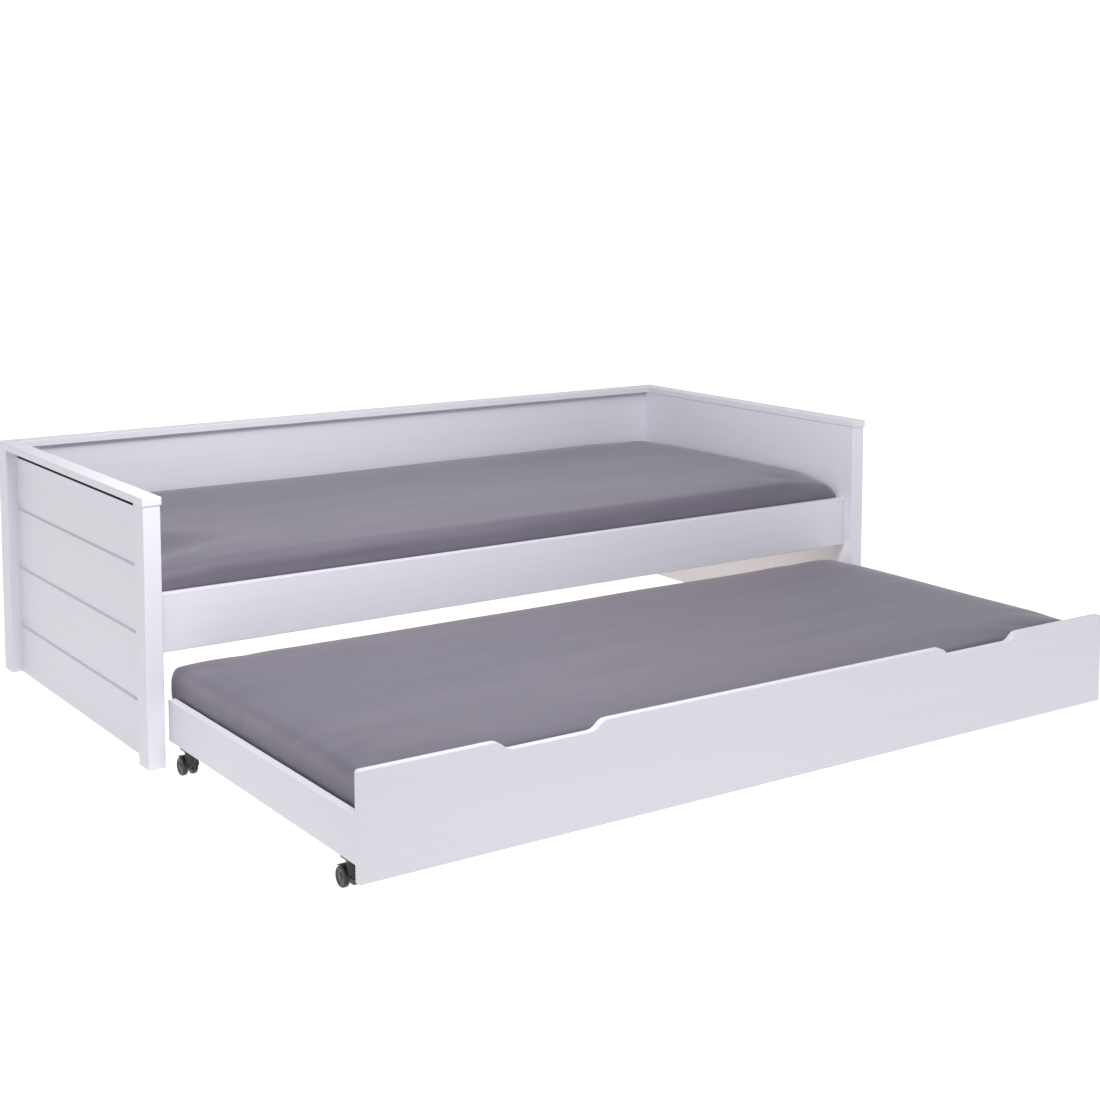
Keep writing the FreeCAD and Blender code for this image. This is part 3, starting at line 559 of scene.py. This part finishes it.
def roundedBlock(name, low, high, cornerRadius, rimRadius):
    # block with rounded upright corners and rims
    bm = bmesh.new()
    bmesh.ops.create_cube(bm, size=1)
    middle = (low + high) / 2
    size = high - low
    for v in bm.verts:
        v.co = Vector(middle[i] + v.co[i] * size[i] for i in range(3))
    upright = [e for e in bm.edges if abs(e.verts[0].co.z - e.verts[1].co.z) > mm]
    bmesh.ops.bevel(bm, geom=upright, offset=cornerRadius, segments=7, profile=0.5, affect="EDGES")
    rims = [e for e in bm.edges if abs(e.verts[0].co.z - e.verts[1].co.z) < 0.1 * mm]
    bmesh.ops.bevel(bm, geom=rims, offset=rimRadius, segments=6, profile=0.5, affect="EDGES")
    mesh = bpy.data.meshes.new(name)
    bm.to_mesh(mesh)
    bm.free()
    block = bpy.data.objects.new(name, mesh)
    bpy.context.scene.collection.objects.link(block)
    return block


def bakeModifiers(obj):
    # the evaluated shape becomes the object's own plain mesh
    graph = bpy.context.evaluated_depsgraph_get()
    mesh = bpy.data.meshes.new_from_object(obj.evaluated_get(graph))
    obj.modifiers.clear()
    old = obj.data
    obj.data = mesh
    mesh.name = obj.name
    bpy.data.meshes.remove(old)


def readPoints(mesh):
    points = np.empty(len(mesh.vertices) * 3)
    mesh.vertices.foreach_get("co", points)
    return points.reshape(-1, 3)


def writePoints(mesh, points):
    mesh.vertices.foreach_set("co", points.reshape(-1))
    mesh.update()


def readNormals(mesh):
    normals = np.empty(len(mesh.vertices) * 3)
    mesh.vertices.foreach_get("normal", normals)
    return normals.reshape(-1, 3)


def blowUp(pad):
    # cloth filled with a little pressure swells between its edges; the underside stays on the slats
    start = readPoints(pad.data)
    held = pad.vertex_groups.new(name="onSlats")
    foot = start[:, 2].min()
    held.add([int(i) for i in np.nonzero(start[:, 2] < foot + 4 * mm)[0]], 1.0, "REPLACE")
    cloth = pad.modifiers.new("ticking", "CLOTH")
    cloth.settings.quality = 5
    cloth.settings.use_pressure = True
    cloth.settings.uniform_pressure_force = bedding["pressure"]
    cloth.settings.effector_weights.gravity = 0
    cloth.settings.vertex_group_mass = "onSlats"
    cloth.point_cache.frame_end = bedding["frames"]
    for step in range(1, bedding["frames"] + 1):
        bpy.context.scene.frame_set(step)
    bakeModifiers(pad)
    pad.vertex_groups.clear()
    moved = readPoints(pad.data) - start
    length = np.linalg.norm(moved, axis=1, keepdims=True)
    moved *= np.minimum(1, bedding["swell"] / np.maximum(length, 1e-9))
    writePoints(pad.data, start + moved)
    bpy.context.scene.frame_set(1)


def softNoise(points, spacing, seed):
    # smooth noise from -1 to 1, sampled at points
    shift = Vector((seed * 3.7, seed * 1.3, seed * 7.1))
    return np.array([noise.noise(Vector(p) / spacing + shift) for p in points])


def nearness(points, centre, reach):
    # 1 at centre, falling smoothly to 0 at reach, over the plan
    away = np.linalg.norm((points[:, :2] - np.array(centre)) / np.array(reach), axis=1)
    return np.clip(1 - away, 0, 1) ** 2 * (3 - 2 * np.clip(1 - away, 0, 1))


def settle(pad, low, high, look):
    # slow hills of the foam, corners pulled down by the sheet's elastic, and the folds that this bed has
    points = readPoints(pad.data)
    top = np.clip((points[:, 2] - low.z) / (high.z - low.z), 0, 1) ** 2
    hills = softNoise(points * np.array([1, 1, 0]), bedding["hillSpacing"], look["seed"])
    points[:, 2] += top * look["hills"] * (hills - 0.6)
    for sx in (0, 1):
        for sy in (0, 1):
            corner = ((low.x, high.x)[sx], (low.y, high.y)[sy])
            near = nearness(points, corner, (bedding["droopReach"],) * 2)
            points[:, 2] -= top * look["cornerDroop"][sx + 2 * sy] * near
    for centre, reach, depth in look["dips"]:
        points[:, 2] -= top * depth * nearness(points, centre, reach)
    # the band between the rims is pulled in a little, unevenly
    middle = (low + high) / 2
    band = np.clip(1 - ((points[:, 2] - middle.z) / (0.5 * (high.z - low.z))) ** 2, 0, 1)
    unevenness = softNoise(points, bedding["bandSpacing"], look["seed"] + 5)
    pull = look["bandPull"] * band * (0.75 + 0.6 * unevenness)
    reach = bedding["bandReach"]
    for axis in range(2):
        away = points[:, axis] - middle[axis]
        edge = np.clip((np.abs(away) - (high[axis] - low[axis]) / 2 + reach) / reach, 0, 1)
        points[:, axis] -= np.sign(away) * pull * edge
    # where nothing is under the rear edge, it sags
    rear = np.clip((points[:, 1] - high.y + look["sagReach"]) / look["sagReach"], 0, 1) ** 2
    points[:, 2] -= top * look["rearSag"] * rear
    for axis in range(3):
        points[:, axis] = np.clip(points[:, axis], low[axis], high[axis])
    # the ends and sides are drawn out again to where the sheet's inside face lies
    for axis in range(2):
        least, most = points[:, axis].min(), points[:, axis].max()
        share = (points[:, axis] - least) / (most - least)
        points[:, axis] = low[axis] + share * (high[axis] - low[axis])
    # diamond quilting sewn into the underside
    quilt = bedding["quilt"]
    flatFoot = points[:, 2] < low.z + 1.5 * mm
    for way in (1, -1):
        line = np.abs((points[:, 0] + way * points[:, 1]) / quilt["spacing"] % 1 - 0.5) * quilt["spacing"]
        points[flatFoot, 2] += quilt["depth"] * np.exp(-(line[flatFoot] / quilt["width"]) ** 2)
    writePoints(pad.data, points)


def makeMattress(name, nodeName, body, look):
    # foam core in quilted ticking, a little smaller than its place, swollen, then settled
    low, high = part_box(nodeName)
    inset = Vector((bedding["swell"] * 0.6, bedding["swell"] * 0.6, 0))
    start = roundedBlock(
        name, low + inset, high - inset - Vector((0, 0, bedding["swell"] * 0.9)),
        bedding["cornerRadius"], bedding["rimRadius"])
    remesh = start.modifiers.new("evenMesh", "REMESH")
    remesh.mode = "VOXEL"
    remesh.voxel_size = bedding["voxel"]
    bakeModifiers(start)
    blowUp(start)
    smooth = start.modifiers.new("smooth", "SUBSURF")
    smooth.levels = 1
    smooth.render_levels = 1
    bakeModifiers(start)
    settle(start, low, high, look)
    start.data.shade_smooth()
    start.data.materials.clear()
    start.data.materials.append(finishes["ticking"])
    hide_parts(nodeName)
    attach(start, body)
    print(name, "faces:", len(start.data.polygons))
    return start


def followRim(bm):
    # the points of the open edge, in order
    start = next(v for v in bm.verts if v.is_boundary)
    path = [start]
    before = None
    while True:
        here = path[-1]
        ways = [e.other_vert(here) for e in here.link_edges if e.is_boundary]
        ahead = next(v for v in ways if v is not before)
        if ahead is start:
            return [v.co.copy() for v in path]
        before = here
        path.append(ahead)


def makeFittedSheet(name, nodeName, mattress, body, look):
    # the mattress's own skin, let out a little, open underneath inside the hem
    low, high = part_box(nodeName)
    mesh = mattress.data.copy()
    mesh.name = name
    sheet = bpy.data.objects.new(name, mesh)
    bpy.context.scene.collection.objects.link(sheet)
    points = readPoints(mesh)
    normals = readNormals(mesh)
    out = bedding["sheetGap"] + bedding["sheetThickness"]
    points += normals * out
    writePoints(mesh, points)
    hem = bedding["hemReach"]
    bm = bmesh.new()
    bm.from_mesh(mesh)
    under = []
    for face in bm.faces:
        middle = face.calc_center_median()
        inside = min(middle.x - low.x, high.x - middle.x, middle.y - low.y, high.y - middle.y)
        if face.normal.z < -0.7 and inside > hem:
            under.append(face)
    bmesh.ops.delete(bm, geom=under, context="FACES")
    # the elastic gathers the hem into small waves
    for edge in bm.edges:
        if edge.is_boundary:
            for v in edge.verts:
                v.tag = True
    gather = look["gather"]
    for v in bm.verts:
        if v.tag:
            along = v.co.x + v.co.y
            wave = math.sin(along * math.tau / gather["spacing"] + 1.7 * math.sin(along * 9))
            middleWay = Vector((low.x + high.x, low.y + high.y, 0)) / 2 - Vector((v.co.x, v.co.y, 0))
            inwards = Vector((math.copysign(1, middleWay.x), 0, 0))
            endHem = hem * 1.4   # nearer to an end than this, the edge runs across the bed
            if abs(v.co.x - low.x) > endHem and abs(v.co.x - high.x) > endHem:
                inwards = Vector((0, math.copysign(1, middleWay.y), 0))
            v.co += inwards * gather["depth"] * wave
    rim = followRim(bm)
    bm.to_mesh(mesh)
    bm.free()
    wall = sheet.modifiers.new("wall", "SOLIDIFY")
    wall.thickness = bedding["sheetThickness"]
    wall.offset = -1
    bakeModifiers(sheet)
    sheet.data.shade_smooth()
    sheet.data.materials.clear()
    sheet.data.materials.append(finishes["jersey"])
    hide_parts(nodeName)
    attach(sheet, body)
    rimPath = closedPath(name + "Rim", rim, bedding["rimLift"], 0)
    elastic = growOn(rimPath, name + "Hem", casing, casingLook, body)
    sewnPath = closedPath(name + "Sewn", rim, -0.1 * mm, -bedding["seamReach"])
    sewing = growOn(sewnPath, name + "Stitches", stitches, stitchLook, body)
    return sheet


bedLow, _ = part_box("bed_fitted_sheet")
bedLook = {
    "seed": 3,
    "hills": 2.2 * mm,
    "bandPull": 2.5 * mm,
    "cornerDroop": (14 * mm, 26 * mm, 6 * mm, 8 * mm),   # front left, front right, back left, back right
    "dips": [((bedLow.x + 0.01, bedLow.y + 0.20), (0.27, 0.15), 34 * mm)],
    "rearSag": 0.0,
    "sagReach": 60 * mm,
    "gather": {"spacing": 38 * mm, "depth": 3 * mm},
}
trundleLook = {
    "seed": 11,
    "hills": 2.0 * mm,
    "bandPull": 2.5 * mm,
    "cornerDroop": (6 * mm, 6 * mm, 5 * mm, 6 * mm),
    "dips": [],
    "rearSag": 13 * mm,
    "sagReach": 90 * mm,
    "gather": {"spacing": 34 * mm, "depth": 3 * mm},
}

bedMattress = makeMattress("bedMattress", "bed_mattress", "bed_frame", bedLook)
makeFittedSheet("bedFittedSheet", "bed_fitted_sheet", bedMattress, "bed_frame", bedLook)
trundleMattress = makeMattress("trundleMattress", "trundle_mattress", "trundle", trundleLook)
makeFittedSheet("trundleFittedSheet", "trundle_fitted_sheet", trundleMattress, "trundle", trundleLook)


studio = {
    "floorSize": 60.0,
    "floorColour": "909092",
    "floorDarker": "8c8c8e",    # its faint mottle
    "floorGlow": 1.0,           # the floor is a lit acrylic table: it shows next to no shadow
    "skyColour": "ffffff",
    "skyEven": 0.12,            # light from all round
    "skyOverhead": 0.10,        # more of it straight overhead
    "ring": 1.05,               # low pale wall all round, so that the floor has no visible end
    "ringFoot": 0.16,           # sine of the height where it starts to fade
    "ringTop": 0.30,
    "backdrop": 1.05,           # high pale wall behind the bed
    "backdropTurn": 56,         # its direction, in degrees from the long side
    "backdropFade": (0.55, 0.85),   # cosines of the angles between which it fades out
    "keyStrength": 0.60,        # large far softbox, high and in front
    "keyWay": (0.14, 0.50, -0.85),
    "keySpread": 20,
    "sideStrength": 0.05,      # weak light from high on the left, into the right end
    "sideWay": (0.70, 0.18, -0.68),
    "sideSpread": 50,
    "nearPlace": (-0.85, -0.85, 2.0),   # softbox over the trundle's left end
    "nearAim": (0.3, 0.4, 0.4),
    "nearWidth": 0.8,
    "nearPower": 42.0,
}


def paleFloor():
    mesh = bpy.data.meshes.new("studioFloor")
    half = studio["floorSize"] / 2
    edges = [(-half, -half, 0), (half, -half, 0), (half, half, 0), (-half, half, 0)]
    mesh.from_pydata(edges, [], [(0, 1, 2, 3)])
    floor = bpy.data.objects.new("studioFloor", mesh)
    bpy.context.scene.collection.objects.link(floor)
    finish, tree, surface, place = newFinish("litAcrylicTable", 0.95)
    mottle = addNode(tree, "ShaderNodeTexNoise", inputs={"Vector": place, "Scale": 3.0, "Detail": 2.0})
    workIn(tree, surface, tones=(
        mottle.outputs["Fac"], studio["floorDarker"], studio["floorColour"], 0.3, 0.7))
    surface.inputs["Emission Color"].default_value = toLinear("ffffff")
    surface.inputs["Emission Strength"].default_value = studio["floorGlow"]
    mesh.materials.append(finish)


def farSoftbox(name, way, strength, spread):
    # a softbox so far away that it lights front and back alike
    light = bpy.data.lights.new(name, "SUN")
    light.energy = strength
    light.angle = math.radians(spread)
    lamp = bpy.data.objects.new(name, light)
    lamp.rotation_euler = Vector(way).to_track_quat("-Z", "Y").to_euler()
    bpy.context.scene.collection.objects.link(lamp)


def nearSoftbox():
    light = bpy.data.lights.new("nearLight", "AREA")
    light.energy = studio["nearPower"]
    light.size = studio["nearWidth"]
    lamp = bpy.data.objects.new("nearLight", light)
    lamp.location = studio["nearPlace"]
    way = Vector(studio["nearAim"]) - Vector(studio["nearPlace"])
    lamp.rotation_euler = way.to_track_quat("-Z", "Y").to_euler()
    bpy.context.scene.collection.objects.link(lamp)


def studioSky():
    # even light, brighter overhead, with a low pale wall all round and a high one behind the bed
    world = bpy.data.worlds.new("studioSky")
    world.use_nodes = True
    tree = world.node_tree
    direction = addNode(tree, "ShaderNodeTexCoord")
    split = addNode(tree, "ShaderNodeSeparateXYZ", inputs={0: direction.outputs["Generated"]})
    overhead = addNode(tree, "ShaderNodeMath", {"operation": "MULTIPLY_ADD", "use_clamp": True}, {
        0: split.outputs["Z"], 1: studio["skyOverhead"], 2: studio["skyEven"]})
    turn = math.radians(studio["backdropTurn"])
    wallWay = addNode(tree, "ShaderNodeVectorMath", {"operation": "DOT_PRODUCT"}, {
        0: direction.outputs["Generated"], 1: (math.cos(turn), math.sin(turn), 0)})
    wall = addNode(tree, "ShaderNodeMapRange", {"interpolation_type": "SMOOTHSTEP"}, {
        "Value": wallWay.outputs["Value"], "From Min": studio["backdropFade"][0],
        "From Max": studio["backdropFade"][1], "To Min": 0.0, "To Max": studio["backdrop"]})
    ring = addNode(tree, "ShaderNodeMapRange", {"interpolation_type": "SMOOTHSTEP"}, {
        "Value": split.outputs["Z"], "From Min": studio["ringFoot"], "From Max": studio["ringTop"],
        "To Min": studio["ring"], "To Max": 0.0})
    walls = addNode(tree, "ShaderNodeMath", {"operation": "MAXIMUM"}, {
        0: ring.outputs["Result"], 1: wall.outputs["Result"]})
    brightest = addNode(tree, "ShaderNodeMath", {"operation": "MAXIMUM"}, {
        0: overhead.outputs["Value"], 1: walls.outputs["Value"]})
    sky = tree.nodes["Background"]
    sky.inputs["Color"].default_value = toLinear(studio["skyColour"])
    tree.links.new(brightest.outputs["Value"], sky.inputs["Strength"])
    bpy.context.scene.world = world


paleFloor()
nearSoftbox()
farSoftbox("keyLight", studio["keyWay"], studio["keyStrength"], studio["keySpread"])
farSoftbox("sideLight", studio["sideWay"], studio["sideStrength"], studio["sideSpread"])
studioSky()
bpy.context.scene.view_settings.view_transform = "Standard"

view = {
    "place": (-2.4751, -3.6894, 1.3111),
    "downTilt": 5.98,
    "turn": -34.25,
    "lens": 59.56,
    "shift": -0.18,
}
camera = bpy.data.cameras.new("viewCamera")
camera.sensor_width = 36
camera.lens = view["lens"]
camera.shift_y = view["shift"]
viewCamera = bpy.data.objects.new("viewCamera", camera)
viewCamera.location = view["place"]
viewCamera.rotation_euler = (math.radians(90 - view["downTilt"]), 0, math.radians(view["turn"]))
bpy.context.scene.collection.objects.link(viewCamera)
bpy.context.scene.camera = viewCamera
print("studio and camera ready")
